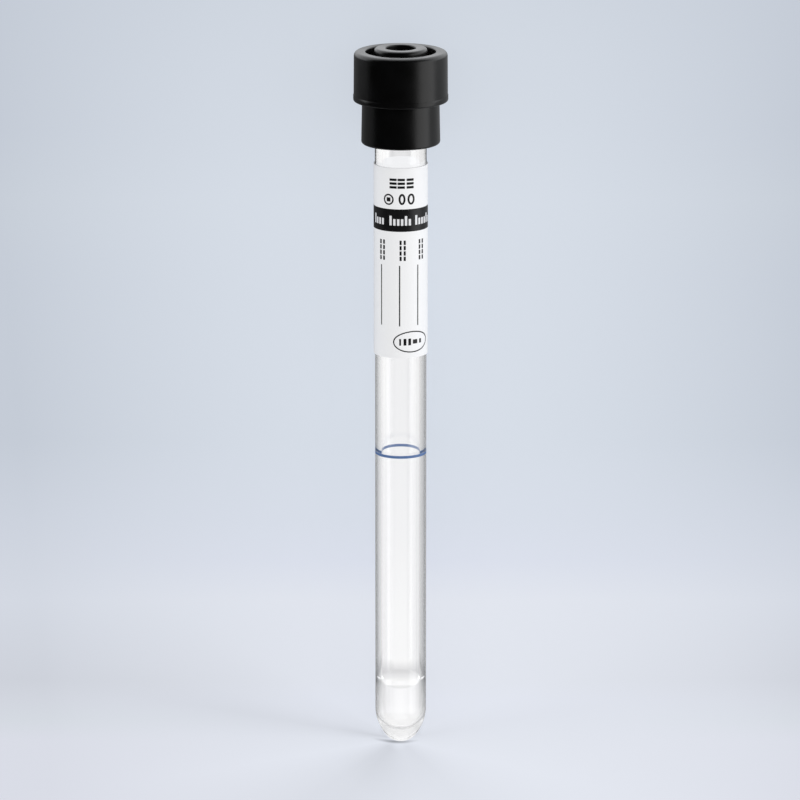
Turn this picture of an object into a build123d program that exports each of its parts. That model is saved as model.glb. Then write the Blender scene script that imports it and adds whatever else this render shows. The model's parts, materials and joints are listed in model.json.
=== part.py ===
from build123d import *
from math import asin, atan2, cos, degrees, hypot, pi, sin
import os

# Evacuated glass tube for blood sedimentation: a round-bottomed glass tube, a one-piece
# moulded rubber stopper with a needle well, a wrapped paper label and a little liquid
# additive at the round end. All sizes are in millimetres.

# Glass tube
tube_diameter = 9.0
tube_length = 120.0
tube_wall = 1.1
end_share = 1.43            # length of the round end over the tube's radius, 1 for a half ball
nose_share = 0.78           # radius at the very tip over the tube's radius
base_thickness = 3.05       # glass between the bore's round bottom and the outer tip

# Stopper, outside
cover_depth = 11.0          # how far the skirt reaches down over the glass
skirt_height = 7.5
skirt_wall = 2.32           # rubber round the glass at the skirt's mouth
skirt_draft = 0.15          # thinner by this much up at the flange
skirt_round = 0.5
flange_height = 8.7
flange_overhang = 1.3       # how far the flange stands out past the skirt's mouth
flange_draft = 0.06
flange_round = 0.75
lip_height = 1.05           # moulding lip round the flange's lower edge
lip_stand = 0.07            # how far the lip stands out from the flange
lip_round = 0.35

# Stopper, top
hub_rise = 0.6              # the hub stands this far above the flange's rim
hub_diameter = 9.2          # at the groove's floor
hub_draft = 0.1
hub_round = 0.4
groove_diameter = 12.2
groove_depth = 2.2
groove_round = 0.4
rim_edge_round = 0.2        # edge between the flange's rim and the groove
well_diameter = 5.2
well_depth = 4.5
well_round = 0.5
well_edge_round = 0.25

# Stopper, inside
plug_length = 8.6           # below the glass rim
plug_lead = 1.6             # tapered start of the plug
plug_taper = 0.45
plug_round = 0.4
recess_diameter = 3.2
recess_round = 0.9
septum_thickness = 4.5      # rubber that the needle goes through
mouth_chamfer = 0.4         # lead-in that finds the glass

# Running clearances of the stopper on the glass
plug_clearance = 0.03
skirt_clearance = 0.05
rim_clearance = 0.10

corner_round = 0.2          # small inner corners of the moulding

# Label
label_length = 33.85
bare_neck = 3.5             # clear glass between the stopper and the label
label_thickness = 0.2
label_overlap = 4.0         # the wrap's end lies this far over its start
glue_gap = 0.02

# Liquid additive
solution_volume = 248.0     # cubic millimetres
solution_gap = 0.02
meniscus_climb = 2.05       # how far it climbs the wall of the bore

# Worked out from the sizes above
tube_radius = tube_diameter / 2
bore_radius = tube_radius - tube_wall
bore_round_place = base_thickness + bore_radius

# The round end is a ball nose that runs tangent into a shoulder arc, and that into the wall.
end_length = end_share * tube_radius
nose_radius = nose_share * tube_radius
nose_to_shoulder = end_length - nose_radius
shoulder_radius = (nose_to_shoulder**2 + tube_radius**2 - nose_radius**2) / (2 * (tube_radius - nose_radius))
shoulder_centre = tube_radius - shoulder_radius
centre_distance = shoulder_radius - nose_radius
nose_end = (
    nose_radius - nose_radius * nose_to_shoulder / centre_distance,
    -nose_radius * shoulder_centre / centre_distance,
)

skirt_mouth = tube_length - cover_depth
flange_low = skirt_mouth + skirt_height
rim_top = flange_low + flange_height
hub_top = rim_top + hub_rise

plug_radius = bore_radius - plug_clearance
slot_radius = tube_radius + skirt_clearance
skirt_radius = slot_radius + skirt_wall
flange_radius = skirt_radius + flange_overhang
flange_top_radius = flange_radius - flange_draft
lip_radius = flange_radius + lip_stand
hub_radius = hub_diameter / 2
hub_top_radius = hub_radius - hub_draft
groove_radius = groove_diameter / 2
well_radius = well_diameter / 2
slot_seat = tube_length + rim_clearance
plug_end = tube_length - plug_length
groove_floor = rim_top - groove_depth
well_floor = hub_top - well_depth
recess_roof = well_floor - septum_thickness
recess_radius = recess_diameter / 2

# The stoppered tube lies on its side: the lip's rounded edge and the round glass end both
# touch the floor at z = 0, so the axis rises a little towards the stopper, which is at +X.
edge_place = flange_low + lip_round - end_length
edge_drop = lip_radius - lip_round - shoulder_centre
edge_distance = hypot(edge_place, edge_drop)
tilt = atan2(edge_drop, edge_place) - asin((shoulder_radius - lip_round) / edge_distance)

low_reach = nose_radius * cos(tilt) - nose_radius


def edge_reach(place, radius, edge_round):
    """How far a rounded edge of the stopper reaches along X, measured from the round tip."""
    return (place - edge_round) * cos(tilt) + (radius - edge_round) * sin(tilt) + edge_round


high_reach = max(
    edge_reach(hub_top, hub_top_radius, hub_round),
    edge_reach(rim_top, flange_top_radius, flange_round),
)

tip_height = shoulder_radius + shoulder_centre * cos(tilt) - end_length * sin(tilt)
tip = Vector(-(low_reach + high_reach) / 2, 0, tip_height)
along = Vector(cos(tilt), 0, sin(tilt))

# Every turned profile is drawn here: its x runs along the tube from the round tip, its y
# is the radius.
profile = Plane(origin=tip, x_dir=along, z_dir=(0, -1, 0))
tube_axis = Axis(tip, along)

with BuildPart() as glass_tube:
    with BuildSketch(profile):
        with BuildLine():
            RadiusArc((0, 0), nose_end, nose_radius)
            RadiusArc(nose_end, (end_length, tube_radius), shoulder_radius)
            Line((end_length, tube_radius), (tube_length - tube_wall / 2, tube_radius))
            # fire-polished rim, fully rounded
            ThreePointArc(
                (tube_length - tube_wall / 2, tube_radius),
                (tube_length, tube_radius - tube_wall / 2),
                (tube_length - tube_wall / 2, bore_radius),
            )
            Line((tube_length - tube_wall / 2, bore_radius), (bore_round_place, bore_radius))
            RadiusArc((bore_round_place, bore_radius), (base_thickness, 0), -bore_radius)
            Line((base_thickness, 0), (0, 0))
        make_face()
    revolve(axis=tube_axis)

with BuildPart() as stopper:
    # outside: skirt, lip, flange and hub as one turned blank
    with BuildSketch(profile):
        with BuildLine():
            outside = FilletPolyline(
                (skirt_mouth, 0),
                (skirt_mouth, skirt_radius),
                (flange_low, skirt_radius - skirt_draft),
                (flange_low, lip_radius),
                (flange_low + lip_height, lip_radius),
                (flange_low + lip_height + lip_stand, flange_radius),
                (rim_top, flange_top_radius),
                (rim_top, hub_radius),
                (hub_top, hub_top_radius),
                (hub_top, 0),
                radius=(skirt_round, corner_round, lip_round, 0, 0, flange_round, 0, hub_round),
            )
            Line(outside @ 1, outside @ 0)
        make_face()
    revolve(axis=tube_axis)

    # ring groove between the rim and the hub
    with BuildSketch(profile):
        with BuildLine():
            groove = FilletPolyline(
                (hub_top, hub_radius),
                (groove_floor, hub_radius),
                (groove_floor, groove_radius),
                (hub_top, groove_radius),
                radius=(groove_round, groove_round),
            )
            Line(groove @ 1, groove @ 0)
        make_face()
    revolve(axis=tube_axis, mode=Mode.SUBTRACT)

    rim_edges = stopper.edges().filter_by(GeomType.CIRCLE).filter_by(
        lambda edge: abs(edge.radius - groove_radius) < 0.001
    )
    fillet(rim_edges.sort_by(tube_axis)[-1], radius=rim_edge_round)

    # needle well in the hub
    with BuildSketch(profile):
        with BuildLine():
            well = FilletPolyline(
                (well_floor, 0),
                (well_floor, well_radius),
                (hub_top, well_radius),
                (hub_top, 0),
                radius=(well_round, 0),
            )
            Line(well @ 1, well @ 0)
        make_face()
    revolve(axis=tube_axis, mode=Mode.SUBTRACT)

    well_edges = stopper.edges().filter_by(GeomType.CIRCLE).filter_by(
        lambda edge: abs(edge.radius - well_radius) < 0.001
    )
    fillet(well_edges.sort_by(tube_axis)[-1], radius=well_edge_round)

    # ring slot that takes the glass, between the skirt and the plug
    with BuildSketch(profile):
        with BuildLine():
            slot = FilletPolyline(
                (skirt_mouth, slot_radius + mouth_chamfer),
                (skirt_mouth + mouth_chamfer, slot_radius),
                (slot_seat, slot_radius),
                (slot_seat, plug_radius),
                (skirt_mouth, plug_radius),
                radius=(0, corner_round, corner_round),
            )
            Line(slot @ 1, slot @ 0)
        make_face()
    revolve(axis=tube_axis, mode=Mode.SUBTRACT)

    # the plug's tapered end and the recess under its septum
    with BuildSketch(profile):
        with BuildLine():
            under = FilletPolyline(
                (recess_roof, 0),
                (recess_roof, recess_radius),
                (plug_end, recess_radius),
                (plug_end, plug_radius - plug_taper),
                (plug_end + plug_lead, plug_radius),
                (skirt_mouth, plug_radius),
                (skirt_mouth, 0),
                radius=(recess_round, corner_round, plug_round, 0, 0),
            )
            Line(under @ 1, under @ 0)
        make_face()
    revolve(axis=tube_axis, mode=Mode.SUBTRACT)

label_from_tip = skirt_mouth - bare_neck - label_length
label_start = Plane(origin=tip + along * label_from_tip, x_dir=(0, 1, 0), z_dir=along)
label_inner = tube_radius + glue_gap
label_outer = label_inner + label_thickness
overlap_angle = degrees(label_overlap / label_outer)
overlap_start = 270 - overlap_angle / 2     # at the back, opposite the printed face

with BuildPart() as label:
    with BuildSketch(label_start):
        Circle(label_outer)
        # the wrap's end, lying over its start
        with BuildLine():
            under_layer = CenterArc((0, 0), label_outer, overlap_start, overlap_angle)
            over_layer = CenterArc((0, 0), label_outer + label_thickness, overlap_start, overlap_angle)
            Line(under_layer @ 0, over_layer @ 0)
            Line(under_layer @ 1, over_layer @ 1)
        make_face()
        Circle(label_inner, mode=Mode.SUBTRACT)
    extrude(amount=label_length)

solution_radius = bore_radius - solution_gap
solution_section = pi * solution_radius**2
round_volume = solution_section * solution_radius * 2 / 3
climb_volume = solution_section * meniscus_climb / 2 - pi * meniscus_climb**3 / 6
solution_level = bore_round_place + (solution_volume - round_volume - climb_volume) / solution_section
solution_base = bore_round_place - solution_radius
wetted_edge = solution_level + meniscus_climb
meniscus_radius = (solution_radius**2 + meniscus_climb**2) / (2 * meniscus_climb)

with BuildPart() as citrate_solution:
    with BuildSketch(profile):
        with BuildLine():
            RadiusArc((solution_base, 0), (bore_round_place, solution_radius), solution_radius)
            Line((bore_round_place, solution_radius), (wetted_edge, solution_radius))
            RadiusArc((wetted_edge, solution_radius), (solution_level, 0), -meniscus_radius)
            Line((solution_level, 0), (solution_base, 0))
        make_face()
    revolve(axis=tube_axis)

glass_tube.part.label = "glass_tube"
stopper.part.label = "stopper"
label.part.label = "label"
citrate_solution.part.label = "citrate_solution"

os.makedirs("parts", exist_ok=True)
export_step(glass_tube.part, "parts/glass_tube.step")
export_step(stopper.part, "parts/stopper.step")
export_step(label.part, "parts/label.step")
export_step(citrate_solution.part, "parts/citrate_solution.step")

print(f"axis tilt {degrees(tilt):.3f} degrees, liquid surface {solution_level:.2f} mm from the tip")
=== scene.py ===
import json
from math import atan2, cos, degrees, pi, radians, sin
import bmesh
import bpy
from mathutils import Matrix, Vector


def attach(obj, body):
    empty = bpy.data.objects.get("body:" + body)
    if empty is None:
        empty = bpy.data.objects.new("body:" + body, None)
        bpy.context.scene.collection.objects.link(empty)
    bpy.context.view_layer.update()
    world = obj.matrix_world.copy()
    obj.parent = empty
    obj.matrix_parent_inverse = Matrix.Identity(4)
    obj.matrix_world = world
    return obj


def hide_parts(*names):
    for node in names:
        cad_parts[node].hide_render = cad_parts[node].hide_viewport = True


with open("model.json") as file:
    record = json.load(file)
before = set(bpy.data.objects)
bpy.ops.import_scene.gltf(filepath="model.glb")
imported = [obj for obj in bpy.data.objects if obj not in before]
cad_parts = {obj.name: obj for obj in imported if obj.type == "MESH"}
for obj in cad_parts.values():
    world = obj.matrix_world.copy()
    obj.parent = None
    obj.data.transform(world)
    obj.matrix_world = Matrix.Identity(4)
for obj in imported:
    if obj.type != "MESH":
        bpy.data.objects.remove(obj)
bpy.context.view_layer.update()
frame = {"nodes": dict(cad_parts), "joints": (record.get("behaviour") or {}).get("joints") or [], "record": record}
record = frame["record"]
mm = 0.001
weld = 0.0005       # in mm, points closer than this become one

# node settings that are used again and again
eased = {"interpolation_type": "SMOOTHSTEP"}
plus = {"operation": "ADD"}
minus = {"operation": "SUBTRACT"}
times = {"operation": "MULTIPLY"}
unsigned = {"operation": "ABSOLUTE"}
span = {"operation": "LENGTH"}
dot = {"operation": "DOT_PRODUCT"}
mixed = {"data_type": "RGBA"}
multiplied = {"data_type": "RGBA", "blend_type": "MULTIPLY"}


def linear(hexColour):
    parts = [int(hexColour[i:i + 2], 16) / 255 for i in (1, 3, 5)]
    return [c / 12.92 if c <= 0.04045 else ((c + 0.055) / 1.055) ** 2.4 for c in parts] + [1.0]


def addNode(tree, kind, settings=None, inputs=(), stops=()):
    # inputs go by name or in order, each a value, or a node or socket to link from
    item = tree.nodes.new("ShaderNode" + kind)
    for name, value in (settings or {}).items():
        setattr(item, name, value)
    if stops:
        # a ramp's stops are (value, hex colour), and its input runs from the first value to the last
        first, last = stops[0][0], stops[-1][0]
        inputs = [addNode(tree, "MapRange", inputs=(inputs[0], first, last))]
        elements = item.color_ramp.elements
        while len(elements) < len(stops):
            elements.new(0.5)
        for element, (place, colour) in zip(elements, stops):
            element.position = (place - first) / (last - first)
            element.color = linear(colour)
    named = inputs.items() if isinstance(inputs, dict) else enumerate(inputs)
    for name, value in named:
        if isinstance(value, bpy.types.Node):
            value = value.outputs[0]
        if isinstance(value, bpy.types.NodeSocket):
            tree.links.new(value, item.inputs[name])
        else:
            item.inputs[name].default_value = value
    return item


def startMaterial(name):
    material = bpy.data.materials.new(name)
    material.use_nodes = True
    material.node_tree.nodes.clear()
    return material, material.node_tree, addNode(material.node_tree, "TexCoord").outputs["Object"]


# the tube's own axis, from the record's well and joint
well = next(m for m in record["mounts"] if m["name"] == "needle_well")
pull = next(j for j in frame["joints"] if j["name"] == "stopper_pull")
along = Vector(pull["axis"]).normalized()
wellPoint = Vector(well["pos_m"])


def lowestPlace(node):
    # where a node starts along the axis, in metres from the record's well
    return min((v.co - wellPoint).dot(along) for v in frame["nodes"][node].data.vertices)


tip = wellPoint + along * lowestPlace("glass_tube")       # outside of the round glass end
across = Vector((0, 1, 0))
upward = along.cross(across)
tilt = atan2(along.z, along.x)
turning = Matrix((along, across, upward)).transposed().to_4x4()
# tube frame: x runs along the tube from the round end in mm, z looks up to the printed face
tubeFrame = Matrix.Translation(tip) @ turning @ Matrix.Scale(mm, 4)
print("frame loaded, tube tilt", round(degrees(tilt), 3))


def finishPiece(bm, name, materials, body, smoothAngle=40):
    bmesh.ops.remove_doubles(bm, verts=bm.verts[:], dist=weld)
    bmesh.ops.recalc_face_normals(bm, faces=bm.faces[:])
    bmesh.ops.transform(bm, matrix=tubeFrame, verts=bm.verts[:])
    mesh = bpy.data.meshes.new(name)
    bm.to_mesh(mesh)
    bm.free()
    mesh.shade_smooth()
    mesh.set_sharp_from_angle(angle=radians(smoothAngle))
    for material in materials:
        mesh.materials.append(material)
    piece = bpy.data.objects.new(name, mesh)
    bpy.context.scene.collection.objects.link(piece)
    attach(piece, body)
    print(name, len(mesh.polygons))
    return piece


def drawProfile(bm, start, moves):
    # edges in the plane y = 0: ("to", place, radius) or ("arc", centre, centre radius, turn, steps)
    last = bm.verts.new((start[0], 0, start[1]))
    for move in moves:
        if move[0] == "to":
            last = bmesh.ops.extrude_vert_indiv(bm, verts=[last])["verts"][0]
            last.co = (move[1], 0, move[2])
        else:
            turned = bmesh.ops.spin(bm, geom=[last], cent=(move[1], 0, move[2]), axis=(0, 1, 0),
                                    angle=radians(move[3]), steps=move[4])
            last = next(g for g in turned["geom_last"] if isinstance(g, bmesh.types.BMVert))
    return last


def roundCorner(bm, place, radius, size, steps=6):
    corner = min(bm.verts, key=lambda v: (v.co - Vector((place, 0, radius))).length)
    bmesh.ops.bevel(bm, geom=[corner], affect="VERTICES", offset_type="OFFSET", offset=size,
                    segments=steps, profile=0.5, material=-1)


def turnProfile(bm, segments):
    bmesh.ops.spin(bm, geom=bm.verts[:] + bm.edges[:], cent=(0, 0, 0), axis=(1, 0, 0),
                   angle=2 * pi, steps=segments, use_merge=True)


# glass tube: sizes in mm, places in its materials in metres

glassBody = {
    "radius": 4.5, "bore": 3.4, "length": 120.0,
    "end": 6.435, "nose": 3.51, "base": 3.05,       # the round end's length, tip radius and solid glass
    "rings": (40, 80), "segments": 144, "slack": 0.05,
    "noseSteps": 18, "shoulderSteps": 16, "rimSteps": 16, "boreSteps": 28,
    "index": 1.47, "clear": "#fefefe", "shadow": "#f4f6f8",
    "ripple": (83.3, 2.38, 2.38),      # drawn glass keeps the faintest lengthwise lines
    # painted shade: how the wall's tint darkens from facing (0) to edge-on (1)
    "wall": ((0.0, "#fefefe"), (0.24, "#fdfdfe"), (0.31, "#f7f7f8"), (0.35, "#eaebec"), (0.39, "#dadbdc"),
             (0.44, "#cacccd"), (0.5, "#babcbe"), (0.57, "#a0a2a4"), (0.66, "#808284"), (0.75, "#848688"),
             (0.9, "#c4c6c8")),
    # where that painted shade gives way to clear glass: from, to, and how much
    "clearings": ((-0.0505, -0.0545, 0.62), (-0.0576, -0.0584, 0.35), (-0.0600, -0.0616, 1.0),
                  (0.0412, 0.0424, 0.85)),
    # the solid base has painted shade: a little greyer on its printed side, and darker towards its sides
    "paintedFootShade": {"from": -0.0590, "to": -0.0594, "low": 0.0064, "high": 0.0072, "tone": "#dcdcdd",
             "sideFrom": -0.0586, "sideTo": -0.0592, "inner": 0.0010, "outer": 0.0040, "side": "#cacacb"},
    # edge-on, the very tip has a painted glow: a white emission for a bright rim
    "tip": {"from": -0.0608, "to": -0.0618, "start": 0.50, "end": 0.68, "share": 0.75, "tone": "#fafafb"}}


def paintFootShade(tree, tint, x, y, z, s):
    # painted shade on the solid base, on its raised side and towards its sides
    solid = addNode(tree, "MapRange", eased, (x, s["from"], s["to"]))
    raised = addNode(tree, "MapRange", eased, (z, s["low"], s["high"]))
    share = addNode(tree, "Math", times, (solid, raised))
    tint = addNode(tree, "Mix", multiplied, {0: share, 6: tint, 7: linear(s["tone"])}).outputs[2]
    rounded = addNode(tree, "MapRange", eased, (x, s["sideFrom"], s["sideTo"]))
    outer = addNode(tree, "MapRange", eased, (addNode(tree, "Math", unsigned, [y]), s["inner"], s["outer"]))
    share = addNode(tree, "Math", times, (rounded, outer))
    return addNode(tree, "Mix", multiplied, {0: share, 6: tint, 7: linear(s["side"])}).outputs[2]


def paintEdgeGlow(tree, body, facing, x, s):
    # painted glow: white emission mixed in where the surface is edge-on
    edgeOn = addNode(tree, "MapRange", eased, (facing, s["start"], s["end"], 0.0, s["share"]))
    reached = addNode(tree, "MapRange", eased, (x, s["from"], s["to"]))
    share = addNode(tree, "Math", times, (edgeOn, reached))
    bright = addNode(tree, "Emission", inputs={"Color": linear(s["tone"])})
    return addNode(tree, "MixShader", inputs=(share, body, bright))


def makeClear(name, s, tones, clearings=(), paintedFootShade=None, rim=None):
    # clear body with a hard gloss; edge-on its tint can darken, a painted shade for a grey outline
    material, tree, place = startMaterial(name)
    x, y, z = addNode(tree, "SeparateXYZ", inputs=[place]).outputs[:]
    ripple = [1 / (length * mm) for length in s["ripple"]]
    turned = addNode(tree, "Mapping", inputs={"Vector": place, "Rotation": (0, tilt, 0), "Scale": ripple})
    lines = addNode(tree, "TexNoise", inputs={"Vector": turned, "Scale": 1.0, "Detail": 2.0})
    bump = addNode(tree, "Bump", inputs={
        "Height": lines.outputs["Fac"], "Strength": 0.02, "Distance": 0.02 * mm})
    facing = addNode(tree, "LayerWeight", inputs={"Blend": 0.5}).outputs["Facing"]
    # painted shade: the tint darkens as the surface turns edge-on
    tint = addNode(tree, "ValToRGB", inputs=[facing], stops=tones) if tones else linear(s["clear"])
    for start, end, share in clearings:
        cleared = addNode(tree, "MapRange", eased, (x, start, end, 0.0, share))
        tint = addNode(tree, "Mix", mixed, {0: cleared, 6: tint, 7: linear(s["clear"])}).outputs[2]
    if paintedFootShade:
        tint = paintFootShade(tree, tint, x, y, z, paintedFootShade)
    body = addNode(tree, "BsdfPrincipled", inputs={
        "Base Color": tint, "Roughness": 0.0, "IOR": s["index"], "Transmission Weight": 1.0, "Normal": bump})
    if rim:
        body = paintEdgeGlow(tree, body, facing, x, rim)
        material.cycles.emission_sampling = "NONE"
    shadow = addNode(tree, "BsdfTransparent", inputs={"Color": linear(s["shadow"])})
    shadowRay = addNode(tree, "LightPath").outputs["Is Shadow Ray"]
    addNode(tree, "OutputMaterial", inputs=[addNode(tree, "MixShader", inputs=(shadowRay, body, shadow))])
    return material


def makeGlassTube(s):
    # borosilicate glass, drawn and fire-polished: clear; its dark edge-on outline is partly painted shade
    wallGlass = makeClear("borosilicateGlassWall", s, s["wall"], s["clearings"], s["paintedFootShade"], s["tip"])
    boreGlass = makeClear("borosilicateGlassBore", s, None)
    r, b, end, nose = s["radius"], s["bore"], s["end"], s["nose"]
    shoulder = ((end - nose) ** 2 + r * r - nose * nose) / (2 * (r - nose))
    noseTurn = degrees(atan2(shoulder - r, end - nose))
    rim = (r - b) / 2
    bm = bmesh.new()
    drawProfile(bm, (0, 0), [
        ("arc", nose, 0, noseTurn, s["noseSteps"]),
        ("arc", end, r - shoulder, 90 - noseTurn, s["shoulderSteps"]),
        *[("to", place, r) for place in s["rings"]], ("to", s["length"] - rim, r),
        ("arc", s["length"] - rim, r - rim, 180, s["rimSteps"]),
        *[("to", place, b) for place in reversed(s["rings"])], ("to", s["base"] + b, b),
        ("arc", s["base"] + b, 0, -90, s["boreSteps"])])
    turnProfile(bm, s["segments"])
    for face in bm.faces:
        middle = face.calc_center_median()
        inside = middle.x > s["base"] - s["slack"] and middle.yz.length < b + s["slack"]
        face.material_index = 1 if inside else 0
    tube = finishPiece(bm, "glassBody", (wallGlass, boreGlass), "tube", 60)
    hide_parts("glass_tube")


makeGlassTube(glassBody)

# fill line fired on the glass

fillLine = {"place": 53.66, "width": 0.48, "inner": 4.47, "outer": 4.515, "segments": 144,
            "spots": 1.11, "tones": ((0.3, "#48689c"), (0.7, "#5d7cae")), "through": "#5b749f"}


def makeLineInk(s):
    # ceramic ink fired on the glass: flat blue with slightly uneven density, a painted even blue glow through the
    # glass
    material, tree, place = startMaterial("ceramicLineInk")
    spots = addNode(tree, "TexNoise", inputs={"Vector": place, "Scale": 1 / (s["spots"] * mm), "Detail": 2.0})
    tint = addNode(tree, "ValToRGB", inputs=[spots.outputs["Fac"]], stops=s["tones"])
    ink = addNode(tree, "BsdfPrincipled", inputs={"Base Color": tint, "Roughness": 0.4})
    # rays other than the camera's see a painted blue glow, lifting the shaded back of the line
    through = addNode(tree, "Emission", inputs={"Color": linear(s["through"])})
    cameraRay = addNode(tree, "LightPath").outputs["Is Camera Ray"]
    addNode(tree, "OutputMaterial", inputs=[addNode(tree, "MixShader", inputs=(cameraRay, through, ink))])
    material.cycles.emission_sampling = "NONE"
    return material


def makeFillLine(s):
    low, high = s["place"] - s["width"] / 2, s["place"] + s["width"] / 2
    bm = bmesh.new()
    last = drawProfile(bm, (low, s["inner"]), [
        ("to", low, s["outer"]), ("to", high, s["outer"]), ("to", high, s["inner"])])
    bm.verts.ensure_lookup_table()
    bm.edges.new((last, bm.verts[0]))
    turnProfile(bm, s["segments"])
    finishPiece(bm, "fillLine", [makeLineInk(s)], "tube")


makeFillLine(fillLine)

# liquid additive

citrateFill = {
    # it overlaps the glass a little, so that light bends once between the two
    "base": 3.05, "bore": 3.4, "overlap": 0.05, "level": 10.21, "climb": 2.05, "segments": 144,
    "roundSteps": 24, "bowlSteps": 20, "slack": 0.02,
    "index": 1.34, "clear": "#fefefe", "shadow": "#fafbfc",
    "ripple": (3.85, 3.85, 3.85),      # a still surface with the slightest waviness
    # painted shade: the liquid's tint greys from facing (0) to edge-on (1)
    "wall": ((0.0, "#fefefe"), (0.02, "#fbfbfc"), (0.07, "#eeeeef"), (0.17, "#dcdcdd"), (0.31, "#cfcfd0"),
             (0.42, "#b8b8ba")),
    "clearings": ((-0.0560, -0.0582, 0.55), (-0.0580, -0.0592, 0.92)),
    # its round bottom has a painted glow edge-on, shown as a soft pale seam in the glass
    "bottom": {"from": -0.0572, "to": -0.0582, "start": 0.50, "end": 0.75, "share": 0.6, "tone": "#fdfdfd"},
    # the curved surface glows with painted light: painted grey shade at the back, whiter down the bowl,
    # and a painted white highlight crescent inside the edge nearest the printed side; places in metres
    # from the middle of the surface
    "slope": 14.7,
    "back": ((0.0006, "#ffffff"), (0.0010, "#fbfbfb"), (0.00125, "#f6f6f6"), (0.0016, "#eeeeef"),
             (0.0020, "#eaeaeb"), (0.0023, "#e2e2e3"), (0.0027, "#e0e0e1")),
    "bowl": "#f2f2f2", "crescent": "#ffffff", "widen": 1.25, "crescentFrom": 0.0025, "crescentTo": 0.0030,
    "nearFrom": -0.0002, "nearTo": 0.0006,
    # beside the middle the crescent keeps closer to the edge, but not where it ends
    "asideFrom": 0.0018, "asideTo": 0.0026, "asideRise": 0.0010, "edgeFrom": 0.0029, "edgeTo": 0.0031,
    # strength in the middle, and what it gains sideways: from, to, gain
    "middle": 1.12, "gains": ((0.0012, 0.0022, 0.22), (0.0030, 0.0034, 1.6)), "share": 0.85}


def paintSurfaceLight(material, s):
    tree = material.node_tree
    output = next(node for node in tree.nodes if node.type == "OUTPUT_MATERIAL")
    clear = output.inputs["Surface"].links[0].from_socket
    place = addNode(tree, "TexCoord").outputs["Object"]
    middle = tubeFrame @ Vector((s["level"], 0, 0))
    offset = addNode(tree, "VectorMath", minus, (place, middle))
    height = addNode(tree, "VectorMath", dot, (offset, upward)).outputs["Value"]
    y = addNode(tree, "SeparateXYZ", inputs=[place]).outputs["Y"]
    sideways = addNode(tree, "Math", unsigned, [y])

    # painted grey shade at the back, by the distance down a sloping line
    rise = radians(s["slope"])
    slope = along * cos(rise) - upward * sin(rise)
    down = addNode(tree, "VectorMath", dot, (offset, slope)).outputs["Value"]
    back = addNode(tree, "ValToRGB", inputs=[down], stops=s["back"])

    # painted highlight crescent: far enough out from the axis, and on the near side
    wide = addNode(tree, "VectorMath", times, (offset, (1.0, s["widen"], 1.0)))
    spread = addNode(tree, "VectorMath", {"operation": "CROSS_PRODUCT"}, (wide, along))
    outward = addNode(tree, "VectorMath", span, [spread]).outputs["Value"]
    rim = addNode(tree, "MapRange", eased, (outward, s["crescentFrom"], s["crescentTo"]))
    raised = addNode(tree, "MapRange", eased, (sideways, s["asideFrom"], s["asideTo"], 0.0, s["asideRise"]))
    dropped = addNode(tree, "MapRange", eased, (sideways, s["edgeFrom"], s["edgeTo"], 1.0, 0.0))
    raised = addNode(tree, "Math", times, (raised, dropped))
    level = addNode(tree, "Math", minus, (height, raised))
    near = addNode(tree, "MapRange", eased, (level, s["nearFrom"], s["nearTo"]))
    bright = addNode(tree, "Math", times, (rim, near))

    tone = addNode(tree, "Mix", mixed, {0: near, 6: back, 7: linear(s["bowl"])}).outputs[2]
    tone = addNode(tree, "Mix", mixed, {0: bright, 6: tone, 7: linear(s["crescent"])}).outputs[2]
    most = s["middle"]
    for start, end, gain in s["gains"]:
        grown = addNode(tree, "MapRange", eased, (sideways, start, end, 0.0, gain))
        most = addNode(tree, "Math", plus, (grown, most))
    strength = addNode(tree, "Mix", inputs={0: bright, 2: 1.0, 3: most})
    white = addNode(tree, "Emission", inputs=(tone, strength))
    shown = addNode(tree, "MixShader", inputs=(s["share"], clear, white))
    tree.links.new(shown.outputs[0], output.inputs["Surface"])
    material.cycles.emission_sampling = "NONE"


def makeSolution(s):
    # citrate solution in water: clear; painted shade greys its sides, a painted glow lights its surface
    liquidWall = makeClear("citrateSolutionWall", s, s["wall"], s["clearings"], rim=s["bottom"])
    liquidTop = makeClear("citrateSolutionSurface", s, None)
    paintSurfaceLight(liquidTop, s)
    r = s["bore"] + s["overlap"]
    start = s["base"] - s["overlap"]
    edge = s["level"] + s["climb"]
    bowl = (r * r + s["climb"] ** 2) / (2 * s["climb"])       # radius of the curved surface
    half = degrees(atan2(r, bowl - s["climb"]))
    bm = bmesh.new()
    drawProfile(bm, (start, 0), [
        ("arc", start + r, 0, 90, s["roundSteps"]), ("to", edge, r),
        ("arc", s["level"] + bowl, 0, -half, s["bowlSteps"])])
    turnProfile(bm, s["segments"])
    for face in bm.faces:
        away = (face.calc_center_median() - Vector((s["level"] + bowl, 0, 0))).length
        face.material_index = 1 if abs(away - bowl) < s["slack"] else 0
    piece = finishPiece(bm, "citrateFill", (liquidWall, liquidTop), "tube")
    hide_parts("citrate_solution")


makeSolution(citrateFill)

# rubber stopper

stopperMoulding = {
    "skirtMouth": 109.0, "skirtRadius": 6.87, "skirtTop": 6.72, "skirtRound": 0.5,
    "flangeLow": 116.5, "lipRadius": 8.24, "lipHeight": 1.05, "lipRound": 0.35, "flangeRadius": 8.17,
    "rimTop": 125.2, "flangeTop": 8.11, "flangeRound": 0.75, "grooveRadius": 6.1, "grooveFloor": 123.0,
    "hubRadius": 4.6, "hubTopRadius": 4.5, "hubTop": 125.8, "hubRound": 0.4, "rimEdge": 0.2,
    "wellRadius": 2.6, "wellFloor": 121.3, "wellRound": 0.5, "wellEdge": 0.25,
    "slotRadius": 4.55, "slotSeat": 120.1, "mouthChamfer": 0.4, "plugRadius": 3.37, "plugLead": 1.6,
    "plugTaper": 0.45, "plugEnd": 111.4, "recessRadius": 1.6, "recessRoof": 116.8, "recessRound": 0.9,
    "small": 0.2, "segments": 160,
    "tones": ((0.35, "#010101"), (0.75, "#040405")), "dull": (0.29, 0.35), "grain": 0.18, "bloom": 3.5}


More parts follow.
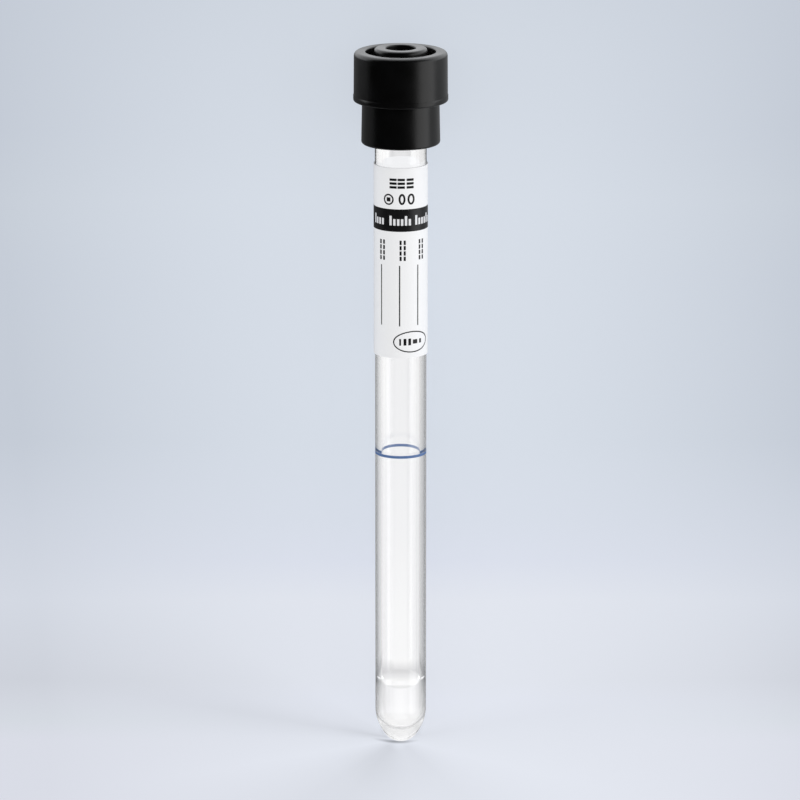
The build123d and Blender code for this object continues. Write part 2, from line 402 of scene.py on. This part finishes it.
def makeRubber(s):
    # butyl rubber, compression moulded: near black, dull sheen, fine eroded grain from the mould
    material, tree, place = startMaterial("butylRubber")
    grain = addNode(tree, "TexNoise", inputs={"Vector": place, "Scale": 1 / (s["grain"] * mm), "Detail": 3.0,
                                              "Roughness": 0.6})
    bloom = addNode(tree, "TexNoise", inputs={"Vector": place, "Scale": 1 / (s["bloom"] * mm), "Detail": 4.0})
    bump = addNode(tree, "Bump", inputs={
        "Height": grain.outputs["Fac"], "Strength": 0.25, "Distance": 0.02 * mm})
    tint = addNode(tree, "ValToRGB", inputs=[bloom.outputs["Fac"]], stops=s["tones"])
    dull = addNode(tree, "MapRange", inputs=(bloom.outputs["Fac"], 0.3, 0.7, *s["dull"]))
    rubber = addNode(tree, "BsdfPrincipled", inputs={
        "Base Color": tint, "Roughness": dull, "IOR": 1.52, "Normal": bump})
    addNode(tree, "OutputMaterial", inputs=[rubber])
    return material


def makeStopper(s):
    bm = bmesh.new()
    lipTop = s["flangeLow"] + s["lipHeight"]
    ledge = s["lipRadius"] - s["flangeRadius"]
    # place along the tube, radius, and the corner's round
    corners = [
        (s["wellFloor"], s["wellRadius"], s["wellRound"]),
        (s["hubTop"], s["wellRadius"], s["wellEdge"]),
        (s["hubTop"], s["hubTopRadius"], s["hubRound"]),
        (s["rimTop"], s["hubRadius"], 0),
        (s["grooveFloor"], s["hubRadius"], 2 * s["small"]),
        (s["grooveFloor"], s["grooveRadius"], 2 * s["small"]),
        (s["rimTop"], s["grooveRadius"], s["rimEdge"]),
        (s["rimTop"], s["flangeTop"], s["flangeRound"]),
        (lipTop + ledge, s["flangeRadius"], 0),
        (lipTop, s["lipRadius"], 0),
        (s["flangeLow"], s["lipRadius"], s["lipRound"]),
        (s["flangeLow"], s["skirtTop"], s["small"]),
        (s["skirtMouth"], s["skirtRadius"], s["skirtRound"]),
        (s["skirtMouth"], s["slotRadius"] + s["mouthChamfer"], 0),
        (s["skirtMouth"] + s["mouthChamfer"], s["slotRadius"], 0),
        (s["slotSeat"], s["slotRadius"], s["small"]),
        (s["slotSeat"], s["plugRadius"], s["small"]),
        (s["plugEnd"] + s["plugLead"], s["plugRadius"], 0),
        (s["plugEnd"], s["plugRadius"] - s["plugTaper"], 2 * s["small"]),
        (s["plugEnd"], s["recessRadius"], s["small"]),
        (s["recessRoof"], s["recessRadius"], s["recessRound"])]
    drawProfile(bm, (s["wellFloor"], 0), [("to", place, radius) for place, radius, corner in corners]
                + [("to", s["recessRoof"], 0)])
    for place, radius, corner in corners:
        if corner:
            roundCorner(bm, place, radius, corner)
    turnProfile(bm, s["segments"])
    piece = finishPiece(bm, "stopperMoulding", [makeRubber(s)], "stopper", 50)
    weighted = piece.modifiers.new("flat faces stay flat", "WEIGHTED_NORMAL")
    weighted.keep_sharp = True
    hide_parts("stopper")


makeStopper(stopperMoulding)

# label and its print

labelWrap = {"top": 105.5, "length": 33.85, "inner": 4.52, "thickness": 0.2, "overlap": 4.0, "ramp": 1.0,
             "lift": 1.02, "ink": 0.012, "inkGap": 0.002, "gridLong": 16, "gridRound": 150,
             "fibre": 0.25, "tones": ((0.0, "#f3f4f6"), (1.0, "#fafafb")), "through": "#f7f8fa"}
labelFace = labelWrap["inner"] + labelWrap["thickness"]


def makePaper(s):
    # coated label paper: bright white, satin, very fine calendered fibre; through the glass it glows, painted
    # light
    material, tree, place = startMaterial("coatedPaper")
    fibre = addNode(tree, "TexNoise", inputs={"Vector": place, "Scale": 1 / (s["fibre"] * mm), "Detail": 5.0,
                                              "Roughness": 0.7})
    bump = addNode(tree, "Bump", inputs={
        "Height": fibre.outputs["Fac"], "Strength": 0.15, "Distance": 0.01 * mm})
    tint = addNode(tree, "ValToRGB", inputs=[fibre.outputs["Fac"]], stops=s["tones"])
    paper = addNode(tree, "BsdfPrincipled", inputs={
        "Base Color": tint, "Roughness": 0.5, "IOR": 1.45, "Normal": bump})
    # refracted rays see a painted pale glow, for the lit inner side of the paper
    through = addNode(tree, "Emission", inputs={"Color": linear(s["through"])})
    refracted = addNode(tree, "LightPath").outputs["Is Transmission Ray"]
    addNode(tree, "OutputMaterial", inputs=[addNode(tree, "MixShader", inputs=(refracted, paper, through))])
    material.cycles.emission_sampling = "NONE"
    return material


def makePrintInk(name, dark, light, speck):
    # print on coated paper: solid, satin, a little uneven where the paper's grain shows
    material, tree, place = startMaterial(name)
    specks = addNode(tree, "TexNoise", inputs={"Vector": place, "Scale": 1 / (speck * mm), "Detail": 3.0})
    tint = addNode(tree, "ValToRGB", inputs=[specks.outputs["Fac"]], stops=((0.4, dark), (0.8, light)))
    ink = addNode(tree, "BsdfPrincipled", inputs={"Base Color": tint, "Roughness": 0.36, "IOR": 1.45})
    addNode(tree, "OutputMaterial", inputs=[ink])
    return material


def makeLabel(s):
    around = 2 * pi * (s["inner"] + s["thickness"] / 2)
    flat = around + s["overlap"]
    bm = bmesh.new()
    bmesh.ops.create_grid(bm, x_segments=s["gridLong"], y_segments=s["gridRound"], size=0.5)
    bmesh.ops.transform(bm, matrix=Matrix.Translation((s["length"] / 2, 0, 0))
                        @ Matrix.Diagonal((s["length"], flat, 1, 1)), verts=bm.verts[:])
    for v in bm.verts:
        # the end of the wrap climbs over its start at the back
        climb = (v.co.y - (flat / 2 - s["overlap"] - s["ramp"])) / s["ramp"]
        turn = (v.co.y + s["overlap"] / 2) * 2 * pi / around
        radius = s["inner"] + min(max(climb, 0), 1) * s["thickness"] * s["lift"]
        v.co = Vector((s["top"] - v.co.x, radius * sin(turn), radius * cos(turn)))
    bmesh.ops.recalc_face_normals(bm, faces=bm.faces[:])
    front = max(bm.faces, key=lambda f: f.calc_center_median().z)
    if front.normal.z < 0:
        bmesh.ops.reverse_faces(bm, faces=bm.faces[:])
    bmesh.ops.solidify(bm, geom=bm.faces[:], thickness=-s["thickness"])
    piece = finishPiece(bm, "labelWrap", [makePaper(s)], "tube")
    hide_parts("label")


makeLabel(labelWrap)


# places are mm below the label's top, turns are degrees to the right of the middle of its face
labelPrint = {
    "band": (7.27, 11.25), "bandTurn": 150,
    # pale words in the band as blocks: first middle, number of blocks
    "bandWords": ((-5.4, 4), (-1.8, 6), (2.85, 6)), "bandStep": 0.68, "bandBlock": 0.42,
    "bandTall": 1.7, "bandLow": 1.15, "bandFoot": 10.15,
    "headTurns": (-16.4, 1.0, 20.3), "headPlace": 2.72, "headDash": (0.42, 1.28), "headStep": 0.67,
    # rings: place, turn, half length, half width, line
    "ring": (5.58, -26.6, 0.98, 0.95, 0.26), "ringDot": 0.72,
    "marks": ((5.5, 2.7, 0.98, 0.6, 0.34), (5.5, 22.4, 0.98, 0.66, 0.34)),
    "titleTurns": (-42.3, 4.1, 48.0), "titlePlace": 14.62, "titleStep": 0.95, "titleDash": (0.76, 0.36),
    "titleGap": 0.72,
    "ruleTurns": (-44.9, -2.4, 38.8), "rules": (17.3, 28.1), "ruleWidth": 0.2,
    "oval": (30.97, 25.4, 1.92, 3.45, 0.2),
    # blocks inside the oval: middle, width, height
    "ovalBlocks": ((-2.2, 0.3, 1.2), (-1.35, 0.5, 1.2), (-0.5, 0.5, 1.2), (0.55, 0.9, 0.75),
                   (1.65, 0.45, 0.75)),
    "barSteps": (2, 0.3), "ringSegments": 72,
    "black": ("#111113", "#1c1c1f"), "pale": ("#e4e5e8", "#f6f6f8"), "speck": 0.12}


def inkShape(name, bm, material, lift=0.0):
    # bends a flat printed shape round the label and gives the ink its small thickness
    low = labelFace + labelWrap["inkGap"] + lift
    for v in bm.verts:
        turn = -v.co.y / labelFace
        v.co = Vector((labelWrap["top"] - v.co.x, low * sin(turn), low * cos(turn)))
    bmesh.ops.recalc_face_normals(bm, faces=bm.faces[:])
    bm.faces.ensure_lookup_table()
    first = bm.faces[0]
    if first.normal.yz.dot(first.calc_center_median().yz) < 0:
        bmesh.ops.reverse_faces(bm, faces=bm.faces[:])
    grown = bmesh.ops.extrude_face_region(bm, geom=bm.faces[:], use_keep_orig=True)
    for v in [g for g in grown["geom"] if isinstance(g, bmesh.types.BMVert)]:
        v.co += Vector((0, v.co.y, v.co.z)).normalized() * labelWrap["ink"]
    finishPiece(bm, name, [material], "tube")


def flatBar(bm, x, y, length, width):
    # a bar whose middle is x below the label's top and y to the right of the middle of its face
    stepLong, stepRound = labelPrint["barSteps"]
    made = bmesh.ops.create_grid(bm, x_segments=max(1, round(length / stepLong)),
                                 y_segments=max(1, round(width / stepRound)), size=0.5)
    bmesh.ops.transform(bm, matrix=Matrix.Translation((x, y, 0)) @ Matrix.Diagonal((length, width, 1, 1)),
                        verts=made["verts"])


def flatRing(bm, x, y, halfX, halfY, line):
    made = bmesh.ops.create_circle(bm, cap_ends=True, radius=1.0, segments=labelPrint["ringSegments"])
    bmesh.ops.transform(bm, matrix=Matrix.Translation((x, y, 0)) @ Matrix.Diagonal((halfX, halfY, 1, 1)),
                        verts=made["verts"])
    face = made["verts"][0].link_faces[0]
    bmesh.ops.inset_individual(bm, faces=[face], thickness=line, use_even_offset=True)
    bmesh.ops.delete(bm, geom=[face], context="FACES")


def arcAt(turn):
    return radians(turn) * labelFace


def makeBand(s, blackInk, knockout):
    # black band round the label, with pale blocks where words would stand
    bm = bmesh.new()
    top, bottom = s["band"]
    flatBar(bm, (top + bottom) / 2, 0, bottom - top, 2 * arcAt(s["bandTurn"]))
    inkShape("labelBand", bm, blackInk)
    bm = bmesh.new()
    for start, count in s["bandWords"]:
        for step in range(count):
            height = s["bandLow"] if step % 4 else s["bandTall"]
            flatBar(bm, s["bandFoot"] - height / 2, start + step * s["bandStep"], height, s["bandBlock"])
    inkShape("bandBlocks", bm, knockout, labelWrap["ink"] + labelWrap["inkGap"])


def makeHeading(s, blackInk):
    # dashes, then a row of small marks: a ring with a dot, and two plain rings
    bm = bmesh.new()
    for turn in s["headTurns"]:
        for row in (-1, 0, 1):
            flatBar(bm, s["headPlace"] + row * s["headStep"], arcAt(turn), *s["headDash"])
    inkShape("headingDashes", bm, blackInk)
    bm = bmesh.new()
    for place, turn, halfX, halfY, line in (s["ring"], *s["marks"]):
        flatRing(bm, place, arcAt(turn), halfX, halfY, line)
    flatBar(bm, s["ring"][0], arcAt(s["ring"][1]), s["ringDot"], s["ringDot"])
    inkShape("smallMarks", bm, blackInk)


def makeWritingLines(s, blackInk):
    # titles of dashes, turned to read along the tube, and their writing lines
    bm = bmesh.new()
    for turn in s["titleTurns"]:
        for step in (-1.5, -0.5, 0.5, 1.5):
            for side in (-0.5, 0.5):
                flatBar(bm, s["titlePlace"] + step * s["titleStep"], arcAt(turn) + side * s["titleGap"],
                        *s["titleDash"])
    inkShape("titleDashes", bm, blackInk)
    bm = bmesh.new()
    top, bottom = s["rules"]
    for turn in s["ruleTurns"]:
        flatBar(bm, (top + bottom) / 2, arcAt(turn), bottom - top, s["ruleWidth"])
    inkShape("labelRules", bm, blackInk)


def makeOval(s, blackInk):
    # oval round the place of the fill volume, with blocks inside
    bm = bmesh.new()
    place, turn, halfX, halfY, line = s["oval"]
    flatRing(bm, place, arcAt(turn), halfX, halfY, line)
    for middle, width, height in s["ovalBlocks"]:
        flatBar(bm, place, arcAt(turn) + middle, height, width)
    inkShape("ovalMark", bm, blackInk)


def makePrint(s):
    blackInk = makePrintInk("blackPrintInk", *s["black"], s["speck"])
    knockout = makePrintInk("unprintedPaper", *s["pale"], s["speck"])
    makeBand(s, blackInk, knockout)
    makeHeading(s, blackInk)
    makeWritingLines(s, blackInk)
    makeOval(s, blackInk)


makePrint(labelPrint)

# camera

cameraPlace = {"distance": 0.9, "sensor": 36.0, "lens": 230.43, "elevation": 14.7, "target": 62.9,
               "sideways": 0.13, "near": 0.05, "far": 50}


def placeCamera(s):
    data = bpy.data.cameras.new("camera")
    data.sensor_width = s["sensor"]
    data.lens = s["lens"]
    data.clip_start = s["near"]
    data.clip_end = s["far"]
    camera = bpy.data.objects.new("camera", data)
    bpy.context.scene.collection.objects.link(camera)
    rise = radians(s["elevation"])       # from square above the tube towards the stopper's end
    target = tubeFrame @ Vector((s["target"], s["sideways"], 0))
    towards = (upward * cos(rise) + along * sin(rise)).normalized()
    cameraUp = (along * cos(rise) - upward * sin(rise)).normalized()
    turn = Matrix((cameraUp.cross(towards), cameraUp, towards)).transposed().to_4x4()
    camera.matrix_world = Matrix.Translation(target + towards * s["distance"]) @ turn
    bpy.context.scene.camera = camera
    print("camera placed")


placeCamera(cameraPlace)

# floor, world and lamps; places in metres

floorLook = {
    "size": 6.0,
    # colour along the tube from beyond the round end to beyond the stopper, on its middle line and
    # at the sides, which are darker: painted light falloff
    "middle": ((-0.0754, "#e6eaf3"), (-0.0642, "#e5e9f2"), (-0.0567, "#e6eaf4"), (-0.0530, "#e5e9f2"),
               (-0.0381, "#e5e9f2"), (-0.0308, "#dee3ef"), (-0.0234, "#dbe1ec"), (-0.0088, "#d9e0ea"),
               (0.0345, "#dae1eb"), (0.0469, "#d8dfe9"), (0.0593, "#d6dde7"), (0.0698, "#d3dae4")),
    "sides": ((-0.0754, "#dbdee8"), (-0.0642, "#dbdee8"), (-0.0604, "#d6dbe3"), (-0.0567, "#d3d7e0"),
              (-0.0530, "#cfd3dc"), (-0.0381, "#d5dae4"), (-0.0234, "#ced4df"), (-0.0088, "#c6cdd8"),
              (0.0202, "#c7ced9"), (0.0345, "#c9d0da"), (0.0469, "#c6cdd8"), (0.0698, "#c6cdd8")),
    "sidesFrom": 0.007, "sidesTo": 0.070, "sidesPower": 1.6,
    # the brightest line of painted light leans to the right beyond the round end
    "leanFrom": -0.065, "leanTo": 0.030, "lean": 0.007}


def paintFloorFalloff(tree, x, y, s):
    # painted light falloff: lighter along a middle line, darker towards the sides
    shift = addNode(tree, "MapRange", inputs=(x, s["leanFrom"], s["leanTo"], s["lean"], 0.0))
    sideways = addNode(tree, "Math", unsigned, [addNode(tree, "Math", plus, (y, shift))])
    spread = addNode(tree, "MapRange", inputs=(sideways, s["sidesFrom"], s["sidesTo"]))
    share = addNode(tree, "Math", {"operation": "POWER"}, (spread, s["sidesPower"]))
    middle = addNode(tree, "ValToRGB", inputs=[x], stops=s["middle"])
    sides = addNode(tree, "ValToRGB", inputs=[x], stops=s["sides"])
    return addNode(tree, "Mix", mixed, {0: share, 6: middle, 7: sides}).outputs[2]


shadowLook = {
    # soft shadows that fan out from the round end: degrees from straight on, turning to the left
    "fanCentre": (-0.0640, 0.0004, 0.0),
    "fanReach": ((0.0006, "#000000"), (0.0022, "#ffffff"), (0.006, "#f3f3f3"), (0.012, "#cbcbcb"),
                 (0.030, "#bcbcbc"), (0.060, "#000000")),
    "fan": ((-180, "#fdfdfd"), (-112, "#fbfbfb"), (-100, "#f7f7f7"), (-88, "#fcfcfc"), (-76, "#ffffff"),
            (-62, "#f9f9f9"), (-48, "#f4f4f4"), (-20, "#f5f5f5"), (0, "#f3f3f3"), (15, "#f0f0f0"),
            (40, "#ebebeb"), (56, "#ededed"), (69, "#f6f6f6"), (80, "#ffffff"), (91, "#fafafa"),
            (100, "#e9e9e9"), (107, "#f4f4f4"), (122, "#fcfcfc"), (180, "#fdfdfd")),
    # a thin curved shadow where the glass end touches the floor
    "touch": (-0.06450, 0.0009, 0.0), "touchHalf": (0.00047, 0.0047, 1.0), "touchTone": 0.44, "touchBend": 26,
    # share of the object's own shadow, and full contact shadow close under the tube and the stopper:
    # from, to, half width and its soft edge
    "share": 0.2, "under": ((-0.0640, 0.0500, 0.0030, 0.0041), (0.0440, 0.0620, 0.0052, 0.0066)),
    "underShare": 0.85, "underEnd": 0.0015}


def shadeFloor(tree, colour, place, y, s):
    # soft shadows round the place where the glass end meets the floor
    offset = addNode(tree, "VectorMath", minus, (place, s["fanCentre"]))
    away = addNode(tree, "VectorMath", span, [offset]).outputs["Value"]
    ahead, aside = addNode(tree, "SeparateXYZ", inputs=[offset]).outputs[:2]
    back = addNode(tree, "Math", times, (ahead, -1.0))
    turned = addNode(tree, "Math", {"operation": "ARCTAN2"}, (aside, back))
    turn = addNode(tree, "Math", {"operation": "DEGREES"}, [turned])
    reach = addNode(tree, "ValToRGB", inputs=[away], stops=s["fanReach"])
    fan = addNode(tree, "ValToRGB", inputs=[turn], stops=s["fan"])
    fan = addNode(tree, "Mix", mixed, {0: reach, 6: linear("#ffffff"), 7: fan}).outputs[2]
    colour = addNode(tree, "VectorMath", times, (colour, fan))

    squared = addNode(tree, "Math", times, (y, y))
    bent = addNode(tree, "CombineXYZ", inputs=[addNode(tree, "Math", times, (squared, s["touchBend"]))])
    spot = addNode(tree, "VectorMath", plus, (s["touch"], bent))
    offset = addNode(tree, "VectorMath", minus, (place, spot))
    shape = addNode(tree, "VectorMath", {"operation": "DIVIDE"}, (offset, s["touchHalf"]))
    away = addNode(tree, "VectorMath", span, [shape]).outputs["Value"]
    touching = addNode(tree, "MapRange", eased, (away, 0.0, 1.0, s["touchTone"], 1.0))
    return addNode(tree, "VectorMath", {"operation": "SCALE"}, {0: colour, "Scale": touching})


def contactShare(tree, x, y, s):
    # how much of the real shadow the floor keeps
    sideways = addNode(tree, "Math", unsigned, [y])
    under = 0.0
    for start, end, narrow, wide in s["under"]:
        ends = addNode(tree, "Math", times, (
            addNode(tree, "MapRange", eased, (x, start, start + s["underEnd"])),
            addNode(tree, "MapRange", eased, (x, end, end - s["underEnd"]))))
        beneath = addNode(tree, "MapRange", eased, (sideways, wide, narrow))
        patch = addNode(tree, "Math", times, (ends, beneath))
        under = addNode(tree, "Math", {"operation": "MAXIMUM"}, (patch, under))
    return addNode(tree, "MapRange", inputs=(under, 0.0, 1.0, s["share"], s["underShare"]))


# what gloss shows of the floor: dark beside the object, bright beyond the stopper's end
glossLook = {"left": 0.18, "right": 0.42, "middle": 0.002, "far": 1.65, "farFrom": 0.060, "farTo": 0.066,
             "frontFrom": -0.0612, "frontTo": -0.0628, "front": 0.95, "tone": "#f7f9fc"}


def glossFloor(tree, x, y, s):
    beyond = addNode(tree, "MapRange", eased, (x, s["farFrom"], s["farTo"]))
    nearer = addNode(tree, "MapRange", eased, (y, -s["middle"], s["middle"], s["right"], s["left"]))
    before = addNode(tree, "MapRange", eased, (x, s["frontFrom"], s["frontTo"]))
    level = addNode(tree, "Mix", inputs={0: beyond, 2: nearer, 3: s["far"]})
    level = addNode(tree, "Mix", inputs={0: before, 2: level, 3: s["front"]})
    return addNode(tree, "Emission", inputs=(linear(s["tone"]), level))


# what the glass shows of the floor under it
gatheredLook = {
    "along": ((-0.070, "#ececed"), (-0.0630, "#e8e8e9"), (-0.0612, "#fdfdfd"), (-0.0598, "#ffffff"),
              (-0.0570, "#fefefe"), (-0.0530, "#f9f9f9"), (-0.0522, "#f5f5f5"), (-0.042, "#f5f5f5"),
              (-0.025, "#efeff0"), (0.002, "#ececed"), (0.0382, "#ececed"), (0.0392, "#e0e0e1"),
              (0.060, "#e0e0e1")),
    "shift": 0.0002, "half": 0.0026, "edge": 0.0034,
    "beside": ((-0.0530, "#ededee"), (-0.0150, "#f0f0f1"), (0.0, "#f5f5f5"), (0.0380, "#f8f8f8")),
    # a dip above the liquid
    "dip": ((-0.0535, "#ffffff"), (-0.0528, "#ffffff"), (-0.0520, "#dadadb"), (-0.0512, "#dcdcdd"),
            (-0.0504, "#eaeaeb"), (-0.0495, "#fafafa"), (-0.0487, "#ffffff")),
    # a little less where the bore's own gloss adds light
    "across": ((-0.0050, "#ffffff"), (-0.0040, "#f7f7f7"), (-0.0020, "#f5f5f5"), (-0.0015, "#fbfbfb"),
               (-0.0012, "#ffffff"), (0.0012, "#ffffff"), (0.0016, "#fafafa"), (0.0019, "#f6f6f6"),
               (0.0023, "#f1f1f1"), (0.0026, "#f7f7f7"), (0.0030, "#ffffff")),
    # and less light from the right-hand side
    "rightFrom": -0.0018, "rightTo": -0.0058, "rightTone": 0.84, "glow": 1.11}


def gatherLight(tree, x, y, s):
    # the tube gathers light on the paper under it, in a stripe either side of its middle line
    middle = addNode(tree, "ValToRGB", inputs=[x], stops=s["along"])
    beside = addNode(tree, "ValToRGB", inputs=[x], stops=s["beside"])
    apart = addNode(tree, "Math", unsigned, [addNode(tree, "Math", minus, (y, s["shift"]))])
    share = addNode(tree, "MapRange", eased, (apart, s["half"], s["edge"]))
    light = addNode(tree, "Mix", mixed, {0: share, 6: middle, 7: beside}).outputs[2]
    dip = addNode(tree, "ValToRGB", inputs=[x], stops=s["dip"])
    dip.color_ramp.interpolation = "B_SPLINE"
    dimmed = addNode(tree, "ValToRGB", inputs=[y], stops=s["across"])
    light = addNode(tree, "VectorMath", times, (light, dip))
    light = addNode(tree, "VectorMath", times, (light, dimmed))
    right = addNode(tree, "MapRange", eased, (
        y, s["rightFrom"], s["rightTo"], s["glow"], s["rightTone"] * s["glow"]))
    return addNode(tree, "Emission", inputs=(light, right))


def makeFloor(s):
    # seamless studio paper: matt, pale blue grey, with painted light falloff towards its edges
    material, tree, place = startMaterial("seamlessStudioPaper")
    x, y = addNode(tree, "SeparateXYZ", inputs=[place]).outputs[:2]
    colour = paintFloorFalloff(tree, x, y, s)
    paper = addNode(tree, "BsdfDiffuse", inputs=[colour])
    shaded = shadeFloor(tree, colour, place, y, shadowLook)
    lit = addNode(tree, "Emission", inputs=[shaded])
    shadowed = addNode(tree, "BsdfDiffuse", inputs=[shaded])
    seen = addNode(tree, "MixShader", inputs=(contactShare(tree, x, y, shadowLook), lit, shadowed))
    path = addNode(tree, "LightPath").outputs
    sheen = glossFloor(tree, x, y, glossLook)
    glow = gatherLight(tree, x, y, gatheredLook)
    shown = addNode(tree, "MixShader", inputs=(path["Is Glossy Ray"], paper, sheen))
    shown = addNode(tree, "MixShader", inputs=(path["Is Transmission Ray"], shown, glow))
    shown = addNode(tree, "MixShader", inputs=(path["Is Camera Ray"], shown, seen))
    addNode(tree, "OutputMaterial", inputs=[shown])
    bm = bmesh.new()
    bmesh.ops.create_grid(bm, x_segments=1, y_segments=1, size=s["size"] / 2)
    mesh = bpy.data.meshes.new("floor")
    bm.to_mesh(mesh)
    bm.free()
    mesh.materials.append(material)
    floor = bpy.data.objects.new("floor", mesh)
    bpy.context.scene.collection.objects.link(floor)


# strengths of the world for matt surfaces, for gloss high up and low on the right, and through the glass
worldLook = {"matt": 0.76, "dome": 0.002, "wall": 0.5, "wallTop": 0.3, "wallFrom": -0.2, "wallTo": 0.1,
             "through": 0.95, "light": "#ffffff", "pale": "#f4f7fc", "seen": "#ccd3de"}


def makeWorld(s):
    # plain white light for matt surfaces, a dark ceiling with a pale wall low down for gloss
    world = bpy.data.worlds.new("studioWorld")
    bpy.context.scene.world = world
    world.use_nodes = True
    tree = world.node_tree
    tree.nodes.clear()
    direction = addNode(tree, "TexCoord").outputs["Generated"]
    y, z = addNode(tree, "SeparateXYZ", inputs=[direction]).outputs[1:]
    low = addNode(tree, "MapRange", eased, (z, 0.0, s["wallTop"], s["wall"], s["dome"]))
    leftward = addNode(tree, "MapRange", eased, (y, s["wallFrom"], s["wallTo"]))
    level = addNode(tree, "Mix", inputs={0: leftward, 2: low, 3: s["dome"]})
    matt = addNode(tree, "Background", inputs=(linear(s["light"]), s["matt"]))
    gloss = addNode(tree, "Background", inputs=(linear(s["pale"]), level))
    through = addNode(tree, "Background", inputs=(linear(s["pale"]), s["through"]))
    seen = addNode(tree, "Background", inputs=(linear(s["seen"]), 1.0))
    path = addNode(tree, "LightPath").outputs
    shown = addNode(tree, "MixShader", inputs=(path["Is Glossy Ray"], matt, gloss))
    shown = addNode(tree, "MixShader", inputs=(path["Is Transmission Ray"], shown, through))
    shown = addNode(tree, "MixShader", inputs=(path["Is Camera Ray"], shown, seen))
    addNode(tree, "OutputWorld", inputs=[shown])


# turn from square above the tube, distance, width, length, radiance, and whether gloss shows it
softboxes = {"rightSoftbox": (-67, 0.75, 0.62, 1.0, 1.25, True),
             "leftSoftbox": (66, 0.8, 0.46, 1.0, 0.78, False)}


def makeLamp(name, turn, distance, width, length, radiance, inGloss):
    data = bpy.data.lights.new(name, "AREA")
    data.shape = "RECTANGLE"
    data.size = width
    data.size_y = length
    data.energy = radiance * pi * width * length
    lamp = bpy.data.objects.new(name, data)
    lamp.visible_camera = False
    lamp.visible_glossy = inGloss
    bpy.context.scene.collection.objects.link(lamp)
    centre = tubeFrame @ Vector((cameraPlace["target"], 0, 0))
    direction = Matrix.Rotation(radians(-turn), 3, along) @ upward
    facing = Matrix((along.cross(direction), along, direction)).transposed().to_4x4()
    lamp.matrix_world = Matrix.Translation(centre + direction * distance) @ facing


makeFloor(floorLook)
makeWorld(worldLook)
for name, softbox in softboxes.items():
    makeLamp(name, *softbox)

bpy.context.scene.view_settings.view_transform = "Standard"
print("stage and lamps ready")
